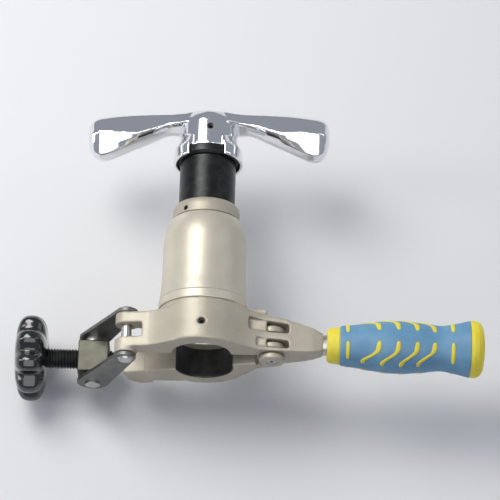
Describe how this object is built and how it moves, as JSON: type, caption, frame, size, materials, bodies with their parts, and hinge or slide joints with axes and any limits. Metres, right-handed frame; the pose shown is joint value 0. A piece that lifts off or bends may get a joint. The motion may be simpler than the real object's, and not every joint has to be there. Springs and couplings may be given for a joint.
{
  "type": "flaring tool",
  "caption": "T-handle flaring tool: a barrel with a screw-fed eccentric cone above a hinged die seat, a swing clamp with a lobed knob, and a waisted hand grip.",
  "frame": {"origin": "on the die seat's axis, in the frame's open end face", "axes": "+X towards the hand grip, +Y along the feed spindle towards the T-handle, +Z away from the surface that the tool lies on"},
  "size_m": [0.27, 0.1677, 0.0882],
  "materials": {
    "satin_nickel": "satin nickel plate on a fine cast surface",
    "pin_steel": "bright turned steel",
    "bronze": "machined bronze",
    "seal_rubber": "matt black rubber",
    "grip_blue": "moulded blue plastic",
    "grip_yellow": "moulded yellow plastic",
    "grey_steel": "dull grey phosphated steel",
    "black_steel": "oiled black oxide",
    "knob_black": "glossy black phenolic",
    "guide_nylon": "natural nylon",
    "chrome": "bright chrome plate",
    "ground_steel": "ground hard steel"
  },
  "bodies": {
    "frame": {"frame_casting": "satin_nickel", "barrel": "satin_nickel", "barrel_ring": "satin_nickel", "feed_nut": "bronze", "top_collar": "satin_nickel", "wiper_ring": "seal_rubber", "collar_screw": "black_steel", "die_screw": "black_steel", "hinge_pin": "pin_steel", "lug_pin": "pin_steel", "grip_rod": "pin_steel", "grip_core": "grip_blue", "grip_inlays": "grip_yellow", "grip_ferrule": "grip_yellow", "grip_end_cap": "grip_yellow"},
    "jaw": {"rear_jaw": "satin_nickel"},
    "clamp_arms": {"clamp_plate_lower": "grey_steel", "clamp_plate_upper": "grey_steel", "clamp_washers": "pin_steel"},
    "swivel": {"clamp_block": "grey_steel", "trunnion_pins": "pin_steel"},
    "pad": {"screw_pad": "black_steel"},
    "screw": {"clamp_screw": "black_steel", "clamp_knob": "knob_black", "knob_screw": "pin_steel"},
    "guide": {"guide_ring": "guide_nylon"},
    "spindle": {"feed_screw": "black_steel", "stop_disc": "black_steel", "t_handle": "chrome", "handle_screw": "black_steel", "eccentric_bush": "black_steel", "cone_bearing": "bronze", "thrust_ball": "ground_steel"},
    "cone": {"flare_cone": "ground_steel", "cone_clip": "pin_steel"}
  },
  "joints": [
    {"name": "jaw_swing", "type": "hinge", "parent": "frame", "child": "jaw", "pos_m": [0.04, 0.01, 0], "axis": [0, 1, 0], "range_deg": [-40, 15]},
    {"name": "arms_swing", "type": "hinge", "parent": "frame", "child": "clamp_arms", "pos_m": [-0.043, 0.00955, 0.0035], "axis": [0, 1, 0], "range_deg": [0, 75]},
    {"name": "block_swivel", "type": "hinge", "parent": "clamp_arms", "child": "swivel", "pos_m": [-0.0635, 0.00955, -0.037], "axis": [0, 1, 0], "range_deg": [-65, 20]},
    {"name": "screw_feed", "type": "slide", "parent": "swivel", "child": "pad", "axis": [1, 0, 0], "range_m": [-0.0071, 0.0036]},
    {"name": "screw_turn", "type": "hinge", "parent": "pad", "child": "screw", "pos_m": [-0.0635, 0.00955, -0.037], "axis": [1, 0, 0], "range_deg": [-1440, 720]},
    {"name": "spindle_feed", "type": "slide", "parent": "frame", "child": "guide", "axis": [0, 1, 0], "range_m": [-0.0262, 0]},
    {"name": "handle_turn", "type": "hinge", "parent": "guide", "child": "spindle", "pos_m": [0, 0.1, 0], "axis": [0, 1, 0], "range_deg": [-4680, 0]},
    {"name": "cone_spin", "type": "hinge", "parent": "spindle", "child": "cone", "pos_m": [0.0015, 0.06, 0], "axis": [0, 1, 0], "continuous": true}
  ],
  "couplings": [
    {"joint": "screw_feed", "follows": "screw_turn", "m_per_rad": 0.00027852},
    {"joint": "spindle_feed", "follows": "handle_turn", "m_per_rad": 0.00031831}
  ]
}
